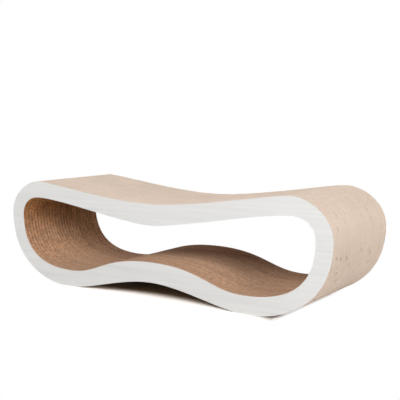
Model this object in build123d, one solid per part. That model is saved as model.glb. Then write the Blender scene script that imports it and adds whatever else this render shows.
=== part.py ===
from build123d import *
import os

# A lounge-shaped cat scratcher: one closed loop with a dished seat on top and a tunnel under it.
# It is a stack of corrugated boards, all cut to the same ring and glued side by side, so that claws
# meet their cut edges. A printed sheet closes the stack at the front and at the back.
# Lengths are millimetres. X runs along the seat, Y runs through the stack from the front sheet to
# the back one, and Z is up. The origin is on the floor, in the middle of the length and the depth.

# The stack, from sheet to sheet
BOARD_COUNT = 26
BOARD_THICKNESS = 9.7  # double-wall board: two fluted layers between three liners
GLUE_THICKNESS = 0.2
GLUE_INSET = 4.0  # the glue stops this far from every cut edge
SHEET_THICKNESS = 1.2

# The outside of the loop
LENGTH = 870.0
HEIGHT = 245.0
SEAT_DIP = 36.0  # from the crests at both ends down to the middle of the seat
ARCH_RISE = 36.0  # from the floor up to the middle of the underside
FOOT_FLAT = 36.0  # length of each foot that lies flat on the floor

# The thickness of the loop's wall at the places where its outlines turn
SEAT_WALL = 47.0
CREST_WALL = 39.0
END_WALL = 37.0
FOOT_WALL = 37.5
ARCH_WALL = 45.0

# Where the outlines turn: along the half length of each outline, and up its height
CREST_SHARE = 0.79
FOOT_SHARE = 0.57
WIDEST_SHARE = 0.66
TUNNEL_CREST_SHARE = 0.866
BOWL_SHARE = 0.603
TUNNEL_WIDEST_SHARE = 0.727

# How far each curve keeps the direction of its two ends, as shares of the way between them
SEAT_SHARES = (0.35, 0.12)
SHOULDER_SHARES = (0.40, 0.62)
END_SHARES = (0.78, 0.32)
ARCH_SHARES = (0.20, 0.35)
CEILING_SHARES = (0.22, 0.23)
TUNNEL_SHOULDER_SHARES = (0.58, 0.62)
BOWL_SHARES = (0.71, 0.64)
HUMP_SHARES = (0.36, 0.58)

# The whole depth follows from the stack: a film of glue lies on both sides of every board
BOARD_PITCH = BOARD_THICKNESS + GLUE_THICKNESS
WIDTH = 2 * SHEET_THICKNESS + BOARD_COUNT * BOARD_PITCH + GLUE_THICKNESS
FRONT = -WIDTH / 2


def level_curve(start, end, shares):
    """A curve that is level at both ends, such as the seat between its dip and its crest."""
    along = Vector(end.X - start.X, 0)
    return Bezier(start, start + along * shares[0], end - along * shares[1], end)


def turn_to_upright(start, end, shares):
    """A quarter turn that starts level and ends upright, such as a shoulder."""
    along = Vector(end.X - start.X, 0)
    rise = Vector(0, end.Y - start.Y)
    return Bezier(start, start + along * shares[0], end - rise * shares[1], end)


def turn_to_level(start, end, shares):
    """A quarter turn that starts upright and ends level, such as an end running down to its foot."""
    along = Vector(end.X - start.X, 0)
    rise = Vector(0, end.Y - start.Y)
    return Bezier(start, start + rise * shares[0], end - along * shares[1], end)


def mirrored_outline(half):
    """A closed outline: a half, drawn from the middle out and back, and its mirror image."""
    return Wire(half + [curve.mirror(Plane.YZ) for curve in half])


def outside_outline(inset=0):
    """The outside of the loop, drawn back from the cut edge by an inset."""
    half_length = LENGTH / 2 - inset
    foot_middle = FOOT_SHARE * LENGTH / 2
    dip = Vector(0, HEIGHT - SEAT_DIP - inset)
    crest = Vector(CREST_SHARE * half_length, HEIGHT - inset)
    widest = Vector(half_length, WIDEST_SHARE * HEIGHT)
    heel = Vector(foot_middle + FOOT_FLAT / 2, inset)
    toe = Vector(foot_middle - FOOT_FLAT / 2, inset)
    arch = Vector(0, ARCH_RISE + inset)
    return mirrored_outline(
        [
            level_curve(dip, crest, SEAT_SHARES),
            turn_to_upright(crest, widest, SHOULDER_SHARES),
            turn_to_level(widest, heel, END_SHARES),
            Line(heel, toe),
            level_curve(toe, arch, ARCH_SHARES),
        ]
    )


def tunnel_outline(inset=0):
    """The tunnel under the seat, widened past its cut edge by an inset."""
    half_length = LENGTH / 2 - END_WALL + inset
    top = HEIGHT - CREST_WALL + inset
    bottom = FOOT_WALL - inset
    ceiling = Vector(0, HEIGHT - SEAT_DIP - SEAT_WALL + inset)
    crest = Vector(TUNNEL_CREST_SHARE * half_length, top)
    widest = Vector(half_length, bottom + TUNNEL_WIDEST_SHARE * (top - bottom))
    bowl = Vector(BOWL_SHARE * half_length, bottom)
    hump = Vector(0, ARCH_RISE + ARCH_WALL - inset)
    return mirrored_outline(
        [
            level_curve(ceiling, crest, CEILING_SHARES),
            turn_to_upright(crest, widest, TUNNEL_SHOULDER_SHARES),
            turn_to_level(widest, bowl, BOWL_SHARES),
            level_curve(bowl, hump, HUMP_SHARES),
        ]
    )


def ring_face(inset=0):
    """The ring that every layer is cut to, standing upright and facing along Y."""
    return Plane.XZ * Face(outside_outline(inset), [tunnel_outline(inset)])


def layer(ring, front, thickness):
    """One layer of the stack, from its front side back through its thickness."""
    return Solid.extrude(Pos(0, front, 0) * ring, Vector(0, thickness, 0))


def save(node, shape):
    export_step(shape, f"parts/{node}.step")


os.makedirs("parts", exist_ok=True)

cut_ring = ring_face()
glue_ring = ring_face(GLUE_INSET)

# Front sheet, then a film of glue before each board and one behind the last, then the back sheet
save("front_face_sheet", layer(cut_ring, FRONT, SHEET_THICKNESS))
stack_front = FRONT + SHEET_THICKNESS
glue_films = []
for index in range(BOARD_COUNT):
    film_front = stack_front + index * BOARD_PITCH
    board = layer(cut_ring, film_front + GLUE_THICKNESS, BOARD_THICKNESS)
    glue_films.append(layer(glue_ring, film_front, GLUE_THICKNESS))
    save(f"corrugated_board_{index + 1:02d}", board)
last_film_front = stack_front + BOARD_COUNT * BOARD_PITCH
glue_films.append(layer(glue_ring, last_film_front, GLUE_THICKNESS))
save("glue_films", Compound(children=glue_films))
save("back_face_sheet", layer(cut_ring, last_film_front + GLUE_THICKNESS, SHEET_THICKNESS))

print(f"{BOARD_COUNT} boards, {len(glue_films)} glue films, 2 face sheets")
print(f"size {LENGTH:.1f} x {WIDTH:.1f} x {HEIGHT:.1f} mm, ring area {cut_ring.area:.0f} mm2")
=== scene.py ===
# %% [markdown]
# A lounge-shaped cat scratcher is a closed loop with a dished seat on top and a tunnel underneath. It is a
# stack of corrugated boards, all cut to the same ring and glued side by side, so that claws meet their cut
# edges. The CAD model holds each board as a plain solid ring. Here every board gets its liners and its
# fluted layers, and every surface gets its finish. We begin by loading that model as a fixed frame, in
# metres, and we keep its box.

# %% Load the imported frame
import math

import bpy
from mathutils import Matrix, Vector


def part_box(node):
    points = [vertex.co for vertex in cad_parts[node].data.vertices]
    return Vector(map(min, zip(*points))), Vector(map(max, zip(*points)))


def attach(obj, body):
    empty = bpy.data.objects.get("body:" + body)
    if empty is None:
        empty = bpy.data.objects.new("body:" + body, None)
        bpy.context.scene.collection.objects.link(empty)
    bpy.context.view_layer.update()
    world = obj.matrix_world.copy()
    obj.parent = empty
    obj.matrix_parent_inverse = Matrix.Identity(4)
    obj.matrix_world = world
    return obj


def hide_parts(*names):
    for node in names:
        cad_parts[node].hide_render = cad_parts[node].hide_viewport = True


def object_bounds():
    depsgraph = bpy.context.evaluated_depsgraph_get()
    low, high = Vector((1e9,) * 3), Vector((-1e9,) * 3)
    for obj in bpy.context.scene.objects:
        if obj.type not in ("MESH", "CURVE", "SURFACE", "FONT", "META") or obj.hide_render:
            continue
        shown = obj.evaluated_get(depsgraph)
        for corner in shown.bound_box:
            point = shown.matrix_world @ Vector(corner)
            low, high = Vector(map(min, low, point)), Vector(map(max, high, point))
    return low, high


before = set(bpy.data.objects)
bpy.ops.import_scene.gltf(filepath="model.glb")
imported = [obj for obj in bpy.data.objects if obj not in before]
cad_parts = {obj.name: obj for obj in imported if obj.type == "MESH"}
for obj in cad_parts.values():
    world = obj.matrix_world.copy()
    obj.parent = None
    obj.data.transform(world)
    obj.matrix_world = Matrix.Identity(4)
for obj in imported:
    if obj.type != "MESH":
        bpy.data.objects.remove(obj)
cad_low, cad_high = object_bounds()
boards = sorted(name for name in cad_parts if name.startswith("corrugated_board"))
print(len(boards), "boards in a box of", [round(v, 4) for v in cad_high - cad_low], "m")

# %% [markdown]
# The camera stands where the photograph was taken: to the right of the middle and a little above the
# seat. Its place and its turn were found by fitting the drawn outline of the loop to the photograph.
# We could aim it with a Track To constraint, but a matrix also holds the small tilt of the picture.

# %% Camera
CAMERA_PLACE = Vector((1.0307, -1.4134, 0.3952))
CAMERA_YAW, CAMERA_PITCH, CAMERA_ROLL = 0.609716, 0.108010, -0.0096015
CAMERA_LENS, CAMERA_SENSOR = 68.63, 36

ahead = Vector((
    -math.sin(CAMERA_YAW) * math.cos(CAMERA_PITCH),
    math.cos(CAMERA_YAW) * math.cos(CAMERA_PITCH),
    -math.sin(CAMERA_PITCH),
))
level_right = Vector((math.cos(CAMERA_YAW), math.sin(CAMERA_YAW), 0))
level_up = level_right.cross(ahead)
right = level_right * math.cos(CAMERA_ROLL) + level_up * math.sin(CAMERA_ROLL)
up = level_up * math.cos(CAMERA_ROLL) - level_right * math.sin(CAMERA_ROLL)

scene = bpy.context.scene
camera_data = bpy.data.cameras.new("camera")
camera_data.lens = CAMERA_LENS
camera_data.sensor_width = CAMERA_SENSOR
camera = bpy.data.objects.new("camera", camera_data)
scene.collection.objects.link(camera)
turn = Matrix((right, up, -ahead)).transposed()
camera.matrix_world = Matrix.Translation(CAMERA_PLACE) @ turn.to_4x4()
scene.camera = camera
print("camera looks along", [round(v, 3) for v in ahead])

# %% [markdown]
# Node trees come next, for the finishes and for the boards. Nodes could be added one by one, but
# then most lines would only set options and links. So small helpers make a node, set its options
# and fill its inputs: a value that is a socket is linked, and any other value is written in.

# %% Helpers for node trees
def fill(tree, node, inputs):
    """Links or fills in the inputs of a node."""
    for name, value in inputs.items():
        if isinstance(value, bpy.types.NodeSocket):
            tree.links.new(value, node.inputs[name])
        else:
            node.inputs[name].default_value = value


def add(tree, kind, inputs=None, **options):
    """A new node, with its options set and its inputs linked or filled in."""
    made = tree.nodes.new(kind)
    for option, value in options.items():
        setattr(made, option, value)
    fill(tree, made, inputs or {})
    return made


def calc(tree, operation, *values):
    """The result of one Math node."""
    return add(tree, "ShaderNodeMath", dict(enumerate(values)), operation=operation).outputs[0]


def remap(tree, value, from_low, from_high, to_low=0.0, to_high=1.0):
    """A value carried from one range to another, and held inside it."""
    source = {"Value": value, "From Min": from_low, "From Max": from_high}
    target = {"To Min": to_low, "To Max": to_high}
    return add(tree, "ShaderNodeMapRange", source | target).outputs[0]


def split(tree, vector):
    """The three parts of a vector, named X, Y and Z."""
    return add(tree, "ShaderNodeSeparateXYZ", {0: vector}).outputs


print("helpers for every tree ready")

# %% [markdown]
# The finishes share a few more steps: mixing two colours, reading noise that may be stretched along
# an axis, spreading that noise over a range, and tilting the surface by it. Bump only tilts the
# light on the surface. The shapes that catch the eye, the liners and flutes, are real geometry.

# %% Helpers for finishes
NOISE_LOW, NOISE_HIGH = 0.3, 0.7


def blend_colours(tree, share, first, second):
    """Two colours mixed by a share."""
    made = add(tree, "ShaderNodeMix", {0: share, 6: first, 7: second}, data_type="RGBA")
    return made.outputs[2]


def new_finish(name):
    """A material with its tree, its Principled shader and the object's own coordinates."""
    finish = bpy.data.materials.new(name)
    finish.use_nodes = True
    tree = finish.node_tree
    place = add(tree, "ShaderNodeTexCoord").outputs["Object"]
    return finish, tree, tree.nodes["Principled BSDF"], place


def grain(tree, place, scale, stretch=(1, 1, 1), detail=2.0, shift=(0, 0, 0)):
    """Noise that may be stretched along an axis, from 0 to 1."""
    mapped = add(tree, "ShaderNodeMapping", {"Vector": place, "Scale": stretch, "Location": shift})
    inputs = {"Vector": mapped.outputs[0], "Scale": scale, "Detail": detail}
    return add(tree, "ShaderNodeTexNoise", inputs).outputs[0]


def spread(tree, value, low, high):
    """Noise carried to a range. Only its rare peaks are cut off."""
    return remap(tree, value, NOISE_LOW, NOISE_HIGH, low, high)


def bumps(tree, height, strength, distance, invert=False):
    """A normal that leans with the slope of a height."""
    inputs = {"Height": height, "Strength": strength, "Distance": distance}
    return add(tree, "ShaderNodeBump", inputs, invert=invert).outputs[0]


print("helpers for finishes ready")

# %% [markdown]
# The photograph was taken in soft studio light. A large lamp high in front gives most of it, a
# smaller one low on the right reaches into the tunnel, and one behind on the left keeps the back
# from going dark. A single sun would be quicker to set, but its shadows would be hard. A dim grey
# world softens what is left of the shadows. Only camera, mirror and glass rays see the world as
# pure white.

# %% World and lamps
HORIZON_LEVEL, ZENITH_LEVEL = 0.04, 0.33
WHITE = (1, 1, 1, 1)
PART_MIDDLE = Vector((0, 0, 0.12))

scene.view_settings.view_transform = "Standard"
world = bpy.data.worlds.new("studio")
scene.world = world
world.use_nodes = True
tree = world.node_tree


def seen_rays(tree):
    """1 for rays that look at the background, straight or in a mirror or through glass."""
    rays = add(tree, "ShaderNodeLightPath").outputs
    seen = calc(tree, "MAXIMUM", rays["Is Camera Ray"], rays["Is Glossy Ray"])
    return calc(tree, "MAXIMUM", seen, rays["Is Transmission Ray"])


direction = add(tree, "ShaderNodeTexCoord").outputs["Generated"]
level = remap(tree, split(tree, direction)["Z"], 0.0, 1.0, HORIZON_LEVEL, ZENITH_LEVEL)
strength = remap(tree, seen_rays(tree), 0.0, 1.0, level, 1.0)
fill(tree, tree.nodes["Background"], {"Color": WHITE, "Strength": strength})


def soft_lamp(name, place, size, power):
    """A square area lamp that looks at the middle of the part."""
    data = bpy.data.lights.new(name, "AREA")
    data.size = size
    data.energy = power
    lamp = bpy.data.objects.new(name, data)
    lamp.location = place
    lamp.rotation_euler = (PART_MIDDLE - Vector(place)).to_track_quat("-Z", "Y").to_euler()
    scene.collection.objects.link(lamp)


soft_lamp("front lamp", (0.6, -3.4, 2.6), size=1.6, power=106)
soft_lamp("right lamp", (3.0, -1.2, 0.6), size=1.0, power=43)
soft_lamp("back lamp", (-2.2, 2.7, 2.0), size=2.0, power=80)
print("world and", len(bpy.data.lights), "lamps")

# %% [markdown]
# The floor is a white sweep. It has to disappear into the white background and still carry the dark
# shadow under the arch. A shadow catcher could do that, but it needs compositing. So rays that look
# at the floor find a dark, warm paper under the arch, which deepens the shadow that falls there, a
# very bright paper where the shadow thins out, and a pure white glow further away. All other rays
# find plain pale paper, so the light that bounces up from it stays natural. The higher the arch, the
# further the light reaches in under it, so the dark zone is narrow in the middle and as deep as the
# part at its feet. In the photograph the shadow reaches further out under the right heel than under
# the left, and so does the dark zone.

# %% Floor
FLOOR_HALF = 6.0
LEFT_SHADE, RIGHT_SHADE = 0.25, 0.305
MIDDLE_SHADE, FOOT_SHADE = 0.09, 0.135
SHADE_BLUR = (-0.015, 0.055)
HEEL_FADE, REACH_FADE = (0.0, 0.015), (0.01, 0.06)
SHADED_PAPER, LIT_PAPER, PLAIN_PAPER = (0.26, 0.20, 0.14, 1), (2.5, 2.5, 2.5, 1), (0.85, 0.85, 0.85, 1)

floor_mesh = bpy.data.meshes.new("floor")
corners = [(x * FLOOR_HALF, y * FLOOR_HALF, 0) for x, y in ((-1, -1), (1, -1), (1, 1), (-1, 1))]
floor_mesh.from_pydata(corners, [], [(0, 1, 2, 3)])
floor = bpy.data.objects.new("floor", floor_mesh)
scene.collection.objects.link(floor)

paper, tree, shader, place = new_finish("white sweep")
seen = seen_rays(tree)
axes = split(tree, place)
past_left = calc(tree, "SUBTRACT", -LEFT_SHADE, axes["X"])
past_right = calc(tree, "SUBTRACT", axes["X"], RIGHT_SHADE)
past_feet = calc(tree, "MAXIMUM", past_left, past_right)
from_middle = calc(tree, "POWER", calc(tree, "DIVIDE", axes["X"], RIGHT_SHADE), 2.0)
reach = remap(tree, from_middle, 0.0, 1.0, MIDDLE_SHADE, FOOT_SHADE)
past_reach = calc(tree, "SUBTRACT", calc(tree, "ABSOLUTE", axes["Y"]), reach)
past = calc(tree, "MAXIMUM", past_feet, past_reach)
shown = blend_colours(tree, remap(tree, past, *SHADE_BLUR), SHADED_PAPER, LIT_PAPER)
fill(tree, shader, {
    "Base Color": blend_colours(tree, seen, PLAIN_PAPER, shown),
    "Roughness": 1.0, "Specular IOR Level": 0.0,
})
away = calc(tree, "MAXIMUM", remap(tree, past_feet, *HEEL_FADE), remap(tree, past_reach, *REACH_FADE))
glow = calc(tree, "MULTIPLY", seen, away)
white = add(tree, "ShaderNodeEmission").outputs[0]
mixed = add(tree, "ShaderNodeMixShader", {0: glow, 1: shader.outputs[0], 2: white})
fill(tree, tree.nodes["Material Output"], {"Surface": mixed.outputs[0]})
floor_mesh.materials.append(paper)
print("floor", 2 * FLOOR_HALF, "m wide")

# %% [markdown]
# Every board is cut to one ring: the outside of the loop and the tunnel. Both outlines are the same
# to the left and right of the middle, and each is a few Bezier curves that are level or upright at
# their ends. A row of points could copy them, but Bezier curve objects hold them exactly. So half of
# each is written down as legs: the knot where a leg ends, the directions in which it leaves and
# arrives, and how far it keeps them. The other half is its mirror image. The curves lie flat for now.

# %% Outlines of the ring
SEAT_DIP, ARCH_RISE, FOOT_FLAT = 0.036, 0.036, 0.036
SEAT_WALL, CREST_WALL, END_WALL, FOOT_WALL, ARCH_WALL = 0.047, 0.039, 0.037, 0.0375, 0.045
CREST_SHARE, WIDEST_SHARE, FOOT_SHARE = 0.79, 0.66, 0.57
TUNNEL_CREST_SHARE, TUNNEL_WIDEST_SHARE, BOWL_SHARE = 0.866, 0.727, 0.603
OUTLINE_STEPS = 32
LEVEL, UPRIGHT = Vector((1, 0, 0)), Vector((0, 1, 0))
HALF_LENGTH, HEIGHT = cad_high.x, cad_high.z


def knot(along, height):
    """A point of an outline, lying flat."""
    return Vector((along, height, 0))


def mirrored(point):
    """The same point on the left half."""
    return Vector((-point.x, point.y, 0))


def ring_outline(name, top, legs):
    """A closed Bezier outline from the legs of its right half, drawn from the top middle down."""
    points = [[top, None, None]]
    for end, leaves, arrives, shares in legs:
        start, way = points[-1][0], end - points[-1][0]
        points[-1][2] = start + way * leaves * shares[0]
        points.append([end, end - way * arrives * shares[1], None])
    points[0][1], points[-1][2] = mirrored(points[0][2]), mirrored(points[-1][1])
    points += [[mirrored(co), mirrored(out), mirrored(into)] for co, into, out in points[-2:0:-1]]
    data = bpy.data.curves.new(name, "CURVE")
    data.dimensions = "3D"
    data.resolution_u = OUTLINE_STEPS
    spline = data.splines.new("BEZIER")
    spline.bezier_points.add(len(points) - 1)
    for target, (co, into, out) in zip(spline.bezier_points, points):
        target.handle_left_type = target.handle_right_type = "FREE"
        target.co, target.handle_left, target.handle_right = co, into, out
    spline.use_cyclic_u = True
    outline = bpy.data.objects.new(name, data)
    scene.collection.objects.link(outline)
    return outline


print("half a loop is", round(HALF_LENGTH, 4), "m long and", round(HEIGHT, 4), "m high")

# %% [markdown]
# The outside runs from the dip of the seat over the crest and down the end to the flat of the foot,
# and then up under the arch. The tunnel runs from its ceiling round the end into the bowl and up
# the hump. The walls between them are measured where the outlines turn.

# %% Draw both outlines
foot_middle = FOOT_SHARE * HALF_LENGTH
outside = ring_outline("outside_outline", knot(0, HEIGHT - SEAT_DIP), [
    (knot(CREST_SHARE * HALF_LENGTH, HEIGHT), LEVEL, LEVEL, (0.35, 0.12)),
    (knot(HALF_LENGTH, WIDEST_SHARE * HEIGHT), LEVEL, UPRIGHT, (0.40, 0.62)),
    (knot(foot_middle + FOOT_FLAT / 2, 0), UPRIGHT, LEVEL, (0.78, 0.32)),
    (knot(foot_middle - FOOT_FLAT / 2, 0), LEVEL, LEVEL, (0.33, 0.33)),
    (knot(0, ARCH_RISE), LEVEL, LEVEL, (0.20, 0.35)),
])
tunnel_half, tunnel_top, tunnel_low = HALF_LENGTH - END_WALL, HEIGHT - CREST_WALL, FOOT_WALL
tunnel_widest = tunnel_low + TUNNEL_WIDEST_SHARE * (tunnel_top - tunnel_low)
tunnel = ring_outline("tunnel_outline", knot(0, HEIGHT - SEAT_DIP - SEAT_WALL), [
    (knot(TUNNEL_CREST_SHARE * tunnel_half, tunnel_top), LEVEL, LEVEL, (0.22, 0.23)),
    (knot(tunnel_half, tunnel_widest), LEVEL, UPRIGHT, (0.58, 0.62)),
    (knot(BOWL_SHARE * tunnel_half, tunnel_low), UPRIGHT, LEVEL, (0.71, 0.64)),
    (knot(0, ARCH_RISE + ARCH_WALL), LEVEL, LEVEL, (0.36, 0.58)),
])
for outline in (outside, tunnel):
    print(outline.name, round(outline.data.splines[0].calc_length(), 3), "m round")

# %% [markdown]
# Cut kraft board is a warm beige that is never even: each sheet of paper has its own tone. The tunnel is a
# deeper brown, partly because its cut is rougher and partly as painted shade, since it lies in shadow: its
# bowl is darker than its ends, and up under the roof it is darker and redder still. The bottoms of the
# hollows are darker too, as painted shade, a little on the outside and much more in the tunnel, where at
# the ends they are nearly black. A vertex colour could paint that, but numbers that the boards carry are
# easier to mix: the tone of the paper, which is 0 for the bottoms of the hollows, the side of the loop, and
# whether the cut is torn there.

# %% Kraft board: colours of the paper
# The outside flutes lie between these two colours by their random tone. The hollow bottoms take the first,
# a mild painted shade.
OUTSIDE_FLUTES_AND_HOLLOW_SHADE, OUTSIDE_LINERS = (0.70, 0.568, 0.46, 1), (0.80, 0.672, 0.577, 1)
TORN_PAPER = (0.60, 0.44, 0.33, 1)
# Painted shade in the tunnel: the bowl liners are darker than those at the ends, and the roof liners darker
# and redder still.
BOWL_SHADED_LINERS, END_LINERS, ROOF_SHADED_LINERS = (0.57, 0.36, 0.234, 1), (0.81, 0.493, 0.29, 1), (0.60, 0.29, 0.11, 1)
# Painted shade in the hollows of the tunnel: their bottoms are dark brown in the bowl and nearly black at
# the ends.
BOWL_HOLLOW_SHADE, END_HOLLOW_SHADE = (0.34, 0.19, 0.115, 1), (0.18, 0.058, 0.018, 1)
END_ZONE, ROOF_SHADE_ZONE = (0.30, 0.40), (0.11, 0.18)

kraft, tree, shader, place = new_finish("kraft board")


def carried(name):
    """A number that the boards carry on their points."""
    return add(tree, "ShaderNodeAttribute", attribute_name=name).outputs["Fac"]


# The tone is random for each paper, but 0 on the hollow bottoms, so they take the darkest colour as painted
# shade.
side, tone = carried("tunnel_side"), carried("paper_tone")
axes = split(tree, place)
# at_ends and roof_shade split the tunnel's colours by place to paint its shade: darker in the bowl and
# under the roof, and darkest in the hollows at the ends.
at_ends = remap(tree, calc(tree, "ABSOLUTE", axes["X"]), *END_ZONE)
roof_shade = remap(tree, axes["Z"], *ROOF_SHADE_ZONE)
outer = blend_colours(tree, tone, OUTSIDE_FLUTES_AND_HOLLOW_SHADE, OUTSIDE_LINERS)
outer = blend_colours(tree, carried("torn"), outer, TORN_PAPER)
liners = blend_colours(tree, at_ends, BOWL_SHADED_LINERS, END_LINERS)
liners = blend_colours(tree, roof_shade, liners, ROOF_SHADED_LINERS)
hollows = blend_colours(tree, at_ends, BOWL_HOLLOW_SHADE, END_HOLLOW_SHADE)
inner = blend_colours(tree, tone, hollows, liners)
colour = blend_colours(tree, side, outer, inner)
print(kraft.name, "has its colours from", len(tree.nodes), "nodes")

# %% [markdown]
# Over those colours lie finer changes. No two boards are quite alike, fibres fleck the paper, the
# whole loop is a little blotchy, and the rough cut of the tunnel is frayed, more so at the ends. All
# of them multiply the colour by a shade close to 1. The fibres also make the roughness uneven and
# tilt the light, because kraft paper is never smooth.

# %% Kraft board: shade, roughness and bump
OUTER_SHADES, INNER_SHADES = (0.98, 1.02), (0.92, 1.08)
BOWL_FRAY, END_FRAY = 0.12, 0.20
FIBRE_SHADES, BLOTCH_SHADES = (0.95, 1.04), (0.96, 1.03)
KRAFT_ROUGHNESS = (0.82, 0.97)

fibres = grain(tree, place, 420, detail=4.0)
flecks = grain(tree, place, 150, stretch=(1, 1, 0.5), detail=1.0)
blotches = grain(tree, place, 9, detail=3.0)
board_shade = carried("board_shade")
outer_shade = remap(tree, board_shade, 0.0, 1.0, *OUTER_SHADES)
inner_shade = remap(tree, board_shade, 0.0, 1.0, *INNER_SHADES)
fray = remap(tree, at_ends, 0.0, 1.0, BOWL_FRAY, END_FRAY)
frayed = calc(tree, "MULTIPLY_ADD", spread(tree, flecks, -1.0, 1.0), fray, 1.0)
inner_shade = calc(tree, "MULTIPLY", inner_shade, frayed)
shade = remap(tree, side, 0.0, 1.0, outer_shade, inner_shade)
shade = calc(tree, "MULTIPLY", shade, spread(tree, fibres, *FIBRE_SHADES))
shade = calc(tree, "MULTIPLY", shade, spread(tree, blotches, *BLOTCH_SHADES))
shaded = add(tree, "ShaderNodeVectorMath", {0: colour, "Scale": shade}, operation="SCALE").outputs[0]
fill(tree, shader, {
    "Base Color": shaded, "Roughness": spread(tree, fibres, *KRAFT_ROUGHNESS), "Specular IOR Level": 0.15,
    "Normal": bumps(tree, fibres, strength=0.3, distance=0.0003),
})
print(kraft.name, "has", len(tree.nodes), "nodes")

# %% [markdown]
# One corrugated board is three flat liners with a fluted sheet in each gap between them. At the cut
# edge the liners show as fine lines and the flutes as waves with small hollows. All flutes lie
# level, along the seat, so the ends of the ring cut across them and the seat cuts along them. A
# plain ring with a striped finish would do from afar, but up close its edge would be flat, so the
# layers are built in Geometry Nodes. A few helpers come first: an empty tree, the side of the loop,
# the way into the board, and noise.

# %% Helpers for Geometry Nodes
def new_tree(name, sockets):
    """An empty tree of Geometry Nodes with named inputs and one geometry output."""
    made = bpy.data.node_groups.new(name, "GeometryNodeTree")
    for title, kind in sockets.items():
        made.interface.new_socket(title, in_out="INPUT", socket_type="NodeSocket" + kind)
    made.interface.new_socket("Geometry", in_out="OUTPUT", socket_type="NodeSocketGeometry")
    return made, add(made, "NodeGroupInput").outputs, add(made, "NodeGroupOutput").inputs["Geometry"]


def inputs_of(tree):
    """The identifiers of a tree's inputs, by their names."""
    return {item.name: item.identifier for item in tree.interface.items_tree if item.in_out == "INPUT"}


def position(tree):
    """The place of each point."""
    return add(tree, "GeometryNodeInputPosition").outputs[0]


def store(tree, geometry, name, value):
    """Geometry whose points carry a number under a name."""
    inputs = {"Geometry": geometry, "Name": name, "Value": value}
    return add(tree, "GeometryNodeStoreNamedAttribute", inputs).outputs[0]


def on_tunnel(tree):
    """1 on the tunnel's outline and 0 on the outside one."""
    name = {"Name": "tunnel_side"}
    return add(tree, "GeometryNodeInputNamedAttribute", name, data_type="FLOAT").outputs["Attribute"]


def inwards(tree, distance):
    """The way from the cut edge into the board, by a distance."""
    normal = add(tree, "GeometryNodeInputNormal").outputs["Normal"]
    inputs = {0: normal, "Scale": distance}
    return add(tree, "ShaderNodeVectorMath", inputs, operation="SCALE").outputs[0]


def noise(tree, scale, seed):
    """Noise at each point, with its own seed."""
    inputs = {"Vector": position(tree), "W": seed, "Scale": scale, "Detail": 0.0}
    return add(tree, "ShaderNodeTexNoise", inputs, noise_dimensions="4D").outputs[0]


print("helpers for Geometry Nodes ready")

# %% [markdown]
# A cut through paper is never quite clean. It wanders a little everywhere, and on the ends, which
# get knocked, a few spots are torn. The tears read the depth in the whole stack and not the place
# in their own board, so a torn spot may run on into the next board.

# %% A rough cut
WANDER_GRAIN, TEAR_GRAIN = 90.0, 150.0
NOISE_SPAN = (0.2, 0.8)
TEAR_HEIGHT_SHARE = 0.4
TEAR_PEAKS, TEAR_ZONE = (0.665, 0.715), (0.39, 0.42)


def torn_share(tree, board_back):
    """1 in the rare spots on the ends where the cut edge is torn, and 0 elsewhere."""
    axes = split(tree, position(tree))
    height = calc(tree, "MULTIPLY", axes["Y"], TEAR_HEIGHT_SHARE)
    depth = calc(tree, "SUBTRACT", board_back, axes["Z"])
    spot = add(tree, "ShaderNodeCombineXYZ", {0: axes["X"], 1: height, 2: depth}).outputs[0]
    inputs = {"Vector": spot, "Scale": TEAR_GRAIN, "Detail": 1.0}
    tears = add(tree, "ShaderNodeTexNoise", inputs).outputs[0]
    ends = remap(tree, calc(tree, "ABSOLUTE", axes["X"]), *TEAR_ZONE)
    return calc(tree, "MULTIPLY", remap(tree, tears, *TEAR_PEAKS), ends)


def rough_cut(tree, take):
    """How far back the cut lies at a place: a small wander everywhere and torn spots on the ends."""
    wander = remap(tree, noise(tree, WANDER_GRAIN, take["Seed"]), *NOISE_SPAN)
    wander = calc(tree, "MULTIPLY", wander, take["Wander"])
    return calc(tree, "MULTIPLY_ADD", torn_share(tree, take["Board Back"]), take["Tear"], wander)


print("tears lie beyond", TEAR_ZONE[0], "m from the middle")

# %% [markdown]
# The first tree makes a flat ring of card: it moves both outlines back from the cut by a setback,
# fills the area between them and gives it a thickness. Liners are such rings with no setback, and a
# ring with some setback closes each hollow at its bottom. That bottom is lumpy, more so in the
# tunnel, because glue and torn fibres stand up from it.

# %% Geometry Nodes: a ring of card
LUMP_GRAIN, LUMP_SPAN = 130.0, (0.25, 0.75)
OUTSIDE_LUMPS = 0.3
WELD = 0.00001

ring_card, take, give = new_tree("ring of card", {
    "Edges": "Geometry", "Setback Outside": "Float", "Setback Tunnel": "Float", "Back": "Float",
    "Thickness": "Float", "Step": "Float", "Uneven": "Float", "Wander": "Float", "Tear": "Float",
    "Board Back": "Float", "Seed": "Float", "Tone": "Float",
})
tree = ring_card
stepping = {"Curve": take["Edges"], "Length": take["Step"]}
stepped = add(tree, "GeometryNodeResampleCurve", stepping, mode="LENGTH").outputs[0]
setback = remap(tree, on_tunnel(tree), 0.0, 1.0, take["Setback Outside"], take["Setback Tunnel"])
lumps = remap(tree, noise(tree, LUMP_GRAIN, take["Seed"]), *LUMP_SPAN, -1.0, 1.0)
lumps = calc(tree, "MULTIPLY", lumps, remap(tree, on_tunnel(tree), 0.0, 1.0, OUTSIDE_LUMPS, 1.0))
lumps = calc(tree, "MULTIPLY_ADD", lumps, take["Uneven"], 1.0)
setback = calc(tree, "MULTIPLY_ADD", setback, lumps, rough_cut(tree, take))
moving = {"Geometry": stepped, "Offset": inwards(tree, setback)}
moved = add(tree, "GeometryNodeSetPosition", moving).outputs[0]
filled = add(tree, "GeometryNodeFillCurve", {"Curve": moved}, mode="TRIANGLES").outputs[0]
lift = add(tree, "ShaderNodeCombineXYZ", {"Z": take["Back"]}).outputs[0]
base = add(tree, "GeometryNodeTransform", {"Geometry": filled, "Translation": lift}).outputs[0]
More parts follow.
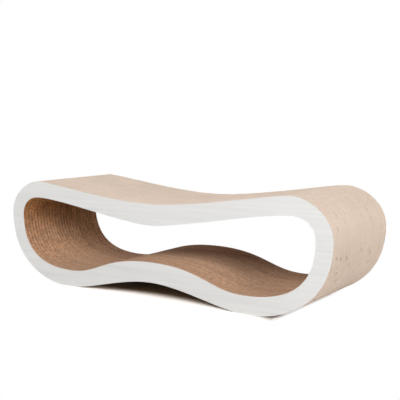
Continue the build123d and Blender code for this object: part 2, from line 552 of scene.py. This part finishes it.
raising = {"Mesh": base, "Offset Scale": take["Thickness"], "Individual": False}
raised = add(tree, "GeometryNodeExtrudeMesh", raising).outputs["Mesh"]
under = add(tree, "GeometryNodeFlipFaces", {"Mesh": base}).outputs[0]
both = add(tree, "GeometryNodeJoinGeometry")
for half in (raised, under):
    tree.links.new(half, both.inputs[0])
welding = {"Geometry": both.outputs[0], "Distance": WELD}
closed = add(tree, "GeometryNodeMergeByDistance", welding).outputs[0]
# The tone is random for liners and 0 for hollow bottoms, which the finish paints dark as shade.
tree.links.new(store(tree, closed, "paper_tone", take["Tone"]), give)
print(ring_card.name, "takes", list(inputs_of(ring_card)))

# %% [markdown]
# The fluted sheet only shows at the cut, so a wavy ribbon along both outlines is enough. The second
# tree samples the outlines finely, swings every point from liner to liner by a sine of its height,
# and sweeps a thin rectangle along the result. Because the wave depends on the height alone, the
# ribbon waves on upright runs and turns into long streaks on level ones. A slow slip keeps the waves
# from being too regular.

# %% Geometry Nodes: a fluted layer
STEPS_PER_FLUTE = 6.0
SLIP_GRAIN, SLIP_SHARE = 20.0, 0.4

fluted_layer, take, give = new_tree("fluted layer", {
    "Edges": "Geometry", "Middle": "Float", "Swing": "Float", "Flute Pitch": "Float",
    "Flute Shift": "Float", "Depth": "Float", "Paper": "Float", "Wander": "Float", "Tear": "Float",
    "Board Back": "Float", "Seed": "Float", "Tone": "Float",
})
tree = fluted_layer
stepping = {"Curve": take["Edges"], "Length": calc(tree, "DIVIDE", take["Flute Pitch"], STEPS_PER_FLUTE)}
stepped = add(tree, "GeometryNodeResampleCurve", stepping, mode="LENGTH").outputs[0]
height = split(tree, position(tree))["Y"]
slip = remap(tree, noise(tree, SLIP_GRAIN, take["Seed"]), *NOISE_SPAN, -SLIP_SHARE, SLIP_SHARE)
slip = calc(tree, "MULTIPLY", slip, take["Flute Pitch"])
phase = calc(tree, "ADD", calc(tree, "ADD", height, take["Flute Shift"]), slip)
phase = calc(tree, "DIVIDE", phase, take["Flute Pitch"])
wave = calc(tree, "SINE", calc(tree, "MULTIPLY", phase, 2 * math.pi))
swing = calc(tree, "MULTIPLY_ADD", wave, take["Swing"], take["Middle"])
lift = add(tree, "ShaderNodeCombineXYZ", {"Z": swing}).outputs[0]
inside = inwards(tree, calc(tree, "MULTIPLY_ADD", take["Depth"], 0.5, rough_cut(tree, take)))
offset = add(tree, "ShaderNodeVectorMath", {0: inside, 1: lift}, operation="ADD").outputs[0]
swung = add(tree, "GeometryNodeSetPosition", {"Geometry": stepped, "Offset": offset}).outputs[0]
section = {"Width": take["Depth"], "Height": take["Paper"]}
strip = add(tree, "GeometryNodeCurvePrimitiveQuadrilateral", section).outputs[0]
ribbon = add(tree, "GeometryNodeCurveToMesh", {"Curve": swung, "Profile Curve": strip}).outputs[0]
tree.links.new(store(tree, ribbon, "paper_tone", take["Tone"]), give)
print(fluted_layer.name, "takes", list(inputs_of(fluted_layer)))

# %% [markdown]
# The third tree puts a whole double-wall board together. It starts from the two outlines, each with
# its side marked and with normals that point into the board. Its random values hang on the board's
# own seed and a number, so that no two boards line up. A Random Value node left alone draws again
# at every point, so that number is linked to its ID.

# %% Geometry Nodes: edges and chances of a board
double_wall, take, give = new_tree("double-wall board", {
    "Outside": "Object", "Tunnel": "Object", "Board Back": "Float", "Board Thickness": "Float",
    "Liner Thickness": "Float", "Medium Thickness": "Float", "Coarse Share": "Float",
    "Coarse Pitch": "Float", "Fine Pitch": "Float", "Hollow Outside": "Float",
    "Hollow Tunnel": "Float", "Wander": "Float", "Tear": "Float", "Seed": "Int", "Finish": "Material",
})
tree = double_wall


def drawn_edge(source, value, turned_round):
    """One outline with its side marked. Its normals point from the cut edge into the board."""
    drawn = add(tree, "GeometryNodeObjectInfo", {"Object": source}, transform_space="ORIGINAL")
    curve = drawn.outputs["Geometry"]
    if turned_round:
        curve = add(tree, "GeometryNodeReverseCurve", {"Curve": curve}).outputs[0]
    curve = add(tree, "GeometryNodeSetCurveNormal", {"Curve": curve}, mode="Z_UP").outputs[0]
    return store(tree, curve, "tunnel_side", value)


def chance(number, low, high):
    """A random value that only the board's seed and this number decide."""
    made = add(tree, "FunctionNodeRandomValue", {2: low, 3: high}, data_type="FLOAT")
    integer = add(tree, "FunctionNodeInputInt", integer=number).outputs[0]
    fill(tree, made, {"ID": integer, "Seed": take["Seed"]})
    return made.outputs[1]


def group(kind, inputs):
    """The geometry that one of the trees above makes."""
    return add(tree, "GeometryNodeGroup", inputs, node_tree=kind).outputs[0]


outside_edge = drawn_edge(take["Outside"], 0.0, False)
tunnel_edge = drawn_edge(take["Tunnel"], 1.0, True)
joined = add(tree, "GeometryNodeJoinGeometry")
for edge in (outside_edge, tunnel_edge):
    tree.links.new(edge, joined.inputs[0])
print(double_wall.name, "takes", list(inputs_of(double_wall)))

# %% [markdown]
# The layers follow from back to front: liner, coarse flutes, liner, fine flutes, liner. Each paper gets its
# own tone and each fluted layer its own shift. Behind each fluted layer lies a ring that is set back, the
# bottom of the hollows. Its tone is 0, so the finish gives it its darkest colour as painted shade. The
# ribbon is made deeper than the hollow usually is, so that its inner edge stays out of sight.

# %% Geometry Nodes: layers of a board
LINER_STEP, HOLLOW_STEP = 0.005, 0.004
LINER_TONES, COARSE_TONES, FINE_TONES = (0.85, 1.0), (0.40, 0.60), (0.70, 0.90)
FINE_HOLLOW_SHARE = 0.5
HOLLOW_LUMPS = 0.8
RIBBON_SHARE, RIBBON_EXTRA = 1.4, 0.001
SHIFTS, SEEDS = (0.0, 0.05), (0.0, 50.0)

liner, medium = take["Liner Thickness"], take["Medium Thickness"]
gaps = calc(tree, "SUBTRACT", take["Board Thickness"], calc(tree, "MULTIPLY", liner, 3.0))
coarse = calc(tree, "MULTIPLY", gaps, take["Coarse Share"])
fine = calc(tree, "SUBTRACT", gaps, coarse)
second = calc(tree, "ADD", liner, coarse)
third = calc(tree, "SUBTRACT", take["Board Thickness"], liner)
cut = {"Edges": joined.outputs[0], "Tear": take["Tear"], "Board Back": take["Board Back"]}
wandering = cut | {"Wander": take["Wander"]}
layers = []
for number, back in enumerate((0.0, second, third)):
    layers.append(group(ring_card, wandering | {
        "Back": back, "Thickness": liner, "Step": LINER_STEP,
        "Seed": chance(number, *SEEDS), "Tone": chance(10 + number, *LINER_TONES),
    }))
for number, gap, back, pitch, share, tones in (
    (0, coarse, liner, take["Coarse Pitch"], 1.0, COARSE_TONES),
    (1, fine, calc(tree, "ADD", second, liner), take["Fine Pitch"], FINE_HOLLOW_SHARE, FINE_TONES),
):
    hollow_outside = calc(tree, "MULTIPLY", take["Hollow Outside"], share)
    hollow_tunnel = calc(tree, "MULTIPLY", take["Hollow Tunnel"], share)
    # Tone 0: the finish paints these hollow bottoms dark, as painted shade.
    layers.append(group(ring_card, cut | {
        "Setback Outside": hollow_outside, "Setback Tunnel": hollow_tunnel, "Back": back,
        "Thickness": gap, "Step": HOLLOW_STEP, "Uneven": HOLLOW_LUMPS,
        "Seed": chance(50 + number, *SEEDS), "Tone": 0.0,
    }))
    layers.append(group(fluted_layer, wandering | {
        "Middle": calc(tree, "MULTIPLY_ADD", gap, 0.5, back),
        "Swing": calc(tree, "MULTIPLY", calc(tree, "SUBTRACT", gap, medium), 0.5),
        "Flute Pitch": pitch, "Flute Shift": chance(20 + number, *SHIFTS),
        "Depth": calc(tree, "MULTIPLY_ADD", hollow_tunnel, RIBBON_SHARE, RIBBON_EXTRA), "Paper": medium,
        "Seed": chance(30 + number, *SEEDS), "Tone": chance(40 + number, *tones),
    }))
whole = add(tree, "GeometryNodeJoinGeometry")
for layer in layers:
    tree.links.new(layer, whole.inputs[0])
print(double_wall.name, "has", len(layers), "layers")

# %% [markdown]
# The layers still lie flat. At the end each point is told what the finish needs: whether the tunnel
# or the outside is nearer, the shade of its board, and whether the cut is torn there. Then the board
# is stood upright and moved to its place in the stack.

# %% Geometry Nodes: a finished board
def distance_to(curve):
    """How far each point is from an outline."""
    near = add(tree, "GeometryNodeProximity", target_element="EDGES")
    drawn = add(tree, "GeometryNodeCurveToMesh", {"Curve": curve}).outputs[0]
    tree.links.new(drawn, near.inputs[0])
    return near.outputs["Distance"]


nearer = calc(tree, "LESS_THAN", distance_to(tunnel_edge), distance_to(outside_edge))
marked = store(tree, whole.outputs[0], "tunnel_side", nearer)
marked = store(tree, marked, "board_shade", chance(60, 0.0, 1.0))
marked = store(tree, marked, "torn", torn_share(tree, take["Board Back"]))
stood = add(tree, "GeometryNodeTransform", {
    "Geometry": marked, "Rotation": (math.pi / 2, 0, 0),
    "Translation": add(tree, "ShaderNodeCombineXYZ", {"Y": take["Board Back"]}).outputs[0],
})
real = add(tree, "GeometryNodeRealizeInstances", {"Geometry": stood.outputs[0]}).outputs[0]
dressed = add(tree, "GeometryNodeSetMaterial", {"Geometry": real, "Material": take["Finish"]})
tree.links.new(dressed.outputs[0], give)
print(double_wall.name, "has", len(tree.nodes), "nodes")

# %% [markdown]
# Each board of the CAD model now gets a detailed board in its place. They could share one mesh, but
# then every tear and shift would repeat through the stack, so each is made with its own seed. The
# modifier's inputs are set by the identifiers of the tree's sockets, the result is turned into a
# plain mesh, and the modifier goes away with the object that carried it.

# %% Boards
BOARD_SIZES = {
    "Liner Thickness": 0.00045, "Medium Thickness": 0.00035, "Coarse Share": 0.62,
    "Coarse Pitch": 0.0092, "Fine Pitch": 0.0068, "Hollow Outside": 0.0006, "Hollow Tunnel": 0.0040,
    "Wander": 0.0003, "Tear": 0.0012,
}
sockets = inputs_of(double_wall)


def detailed_board(node, seed):
    """A plain mesh object with the liners and flutes of one board, at the place of its CAD node."""
    low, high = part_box(node)
    carrier = bpy.data.objects.new("carrier", bpy.data.meshes.new("carrier"))
    scene.collection.objects.link(carrier)
    modifier = carrier.modifiers.new("board", "NODES")
    modifier.node_group = double_wall
    values = BOARD_SIZES | {
        "Outside": outside, "Tunnel": tunnel, "Board Back": high.y, "Board Thickness": high.y - low.y,
        "Seed": seed, "Finish": kraft,
    }
    for name, value in values.items():
        modifier[sockets[name]] = value
    evaluated = carrier.evaluated_get(bpy.context.evaluated_depsgraph_get())
    mesh = bpy.data.meshes.new_from_object(evaluated)
    bpy.data.objects.remove(carrier)
    mesh.name = node + "_cut"
    board = bpy.data.objects.new(node + "_cut", mesh)
    scene.collection.objects.link(board)
    return board


for seed, node in enumerate(boards):
    board = detailed_board(node, seed)
    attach(board, "root")
    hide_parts(node)
board.data.calc_loop_triangles()
print(len(boards), "boards of about", len(board.data.loop_triangles), "triangles")

# %% [markdown]
# The front and back of the stack are closed by a printed sheet: pale, whitewashed wood with a faint
# grey grain along the seat. The CAD sheet already has the right shape, so it stays and only gets a
# finish. A picture of wood would need a UV map and would repeat, so noise that is stretched along
# the seat makes the grain. A mask on the depth leaves the cut edge of the sheet in plain kraft.

# %% Printed sheets
WASH_PALE, WASH_GREY, SHEET_EDGE = (0.73, 0.722, 0.706, 1), (0.66, 0.654, 0.64, 1), (0.60, 0.45, 0.33, 1)
PATCH_SPAN, PATCH_SHARES = (0.35, 0.65), (0.25, 1.0)
LINE_SPAN = (0.35, 0.62)
HAIR_SPAN, HAIR_SHARES = (0.52, 0.72), (0.0, 0.6)
PRINT_ROUGHNESS = (0.55, 0.75)
PRINT_DEPTH = 0.00005

printed, tree, shader, place = new_finish("whitewashed print")
broad = grain(tree, place, 9, stretch=(0.35, 1, 4.0), detail=3.0)
lines = grain(tree, place, 40, stretch=(0.10, 1, 5.5), detail=4.0, shift=(3, 0, 1))
hairs = grain(tree, place, 120, stretch=(0.06, 1, 7.0), detail=2.0, shift=(1, 0, 5))
patches = remap(tree, broad, *PATCH_SPAN, *PATCH_SHARES)
streaks = calc(tree, "MULTIPLY", remap(tree, lines, *LINE_SPAN), patches)
streaks = calc(tree, "MAXIMUM", streaks, remap(tree, hairs, *HAIR_SPAN, *HAIR_SHARES))
wash = blend_colours(tree, streaks, WASH_PALE, WASH_GREY)
depth = calc(tree, "ABSOLUTE", split(tree, place)["Y"])
face = calc(tree, "GREATER_THAN", depth, cad_high.y - PRINT_DEPTH)
fill(tree, shader, {
    "Base Color": blend_colours(tree, face, SHEET_EDGE, wash), "Specular IOR Level": 0.3,
    "Roughness": remap(tree, streaks, 0.0, 1.0, *PRINT_ROUGHNESS),
    "Normal": bumps(tree, streaks, strength=0.25, distance=0.0002, invert=True),
})
for name in ("front_face_sheet", "back_face_sheet"):
    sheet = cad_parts[name]
    sheet.data.materials.clear()
    sheet.data.materials.append(printed)
print(printed.name, "has", len(tree.nodes), "nodes")

# %% [markdown]
# A thin film of glue joins each board to the next. It stops short of the cut edge and hardly shows,
# so there is no need to model drips. The CAD films stay as they are, with a finish of dried glue:
# pale, cloudy and a little glossy, with the clouds also in the gloss and in a faint bump.

# %% Glue
GLUE_DARK, GLUE_PALE = (0.66, 0.56, 0.43, 1), (0.78, 0.71, 0.60, 1)
GLUE_ROUGHNESS = (0.35, 0.6)

glue, tree, shader, place = new_finish("dried glue")
clouds = grain(tree, place, 60)
fill(tree, shader, {
    "Base Color": blend_colours(tree, clouds, GLUE_DARK, GLUE_PALE),
    "Roughness": spread(tree, clouds, *GLUE_ROUGHNESS),
    "Normal": bumps(tree, clouds, strength=0.2, distance=0.0002),
})
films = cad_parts["glue_films"]
films.data.materials.clear()
films.data.materials.append(glue)
print(glue.name, "on", films.name)

# %% [markdown]
# The outlines were only drawn to guide the boards, so they go.

# %% Remove the outlines
for outline in (outside, tunnel):
    bpy.data.objects.remove(outline)
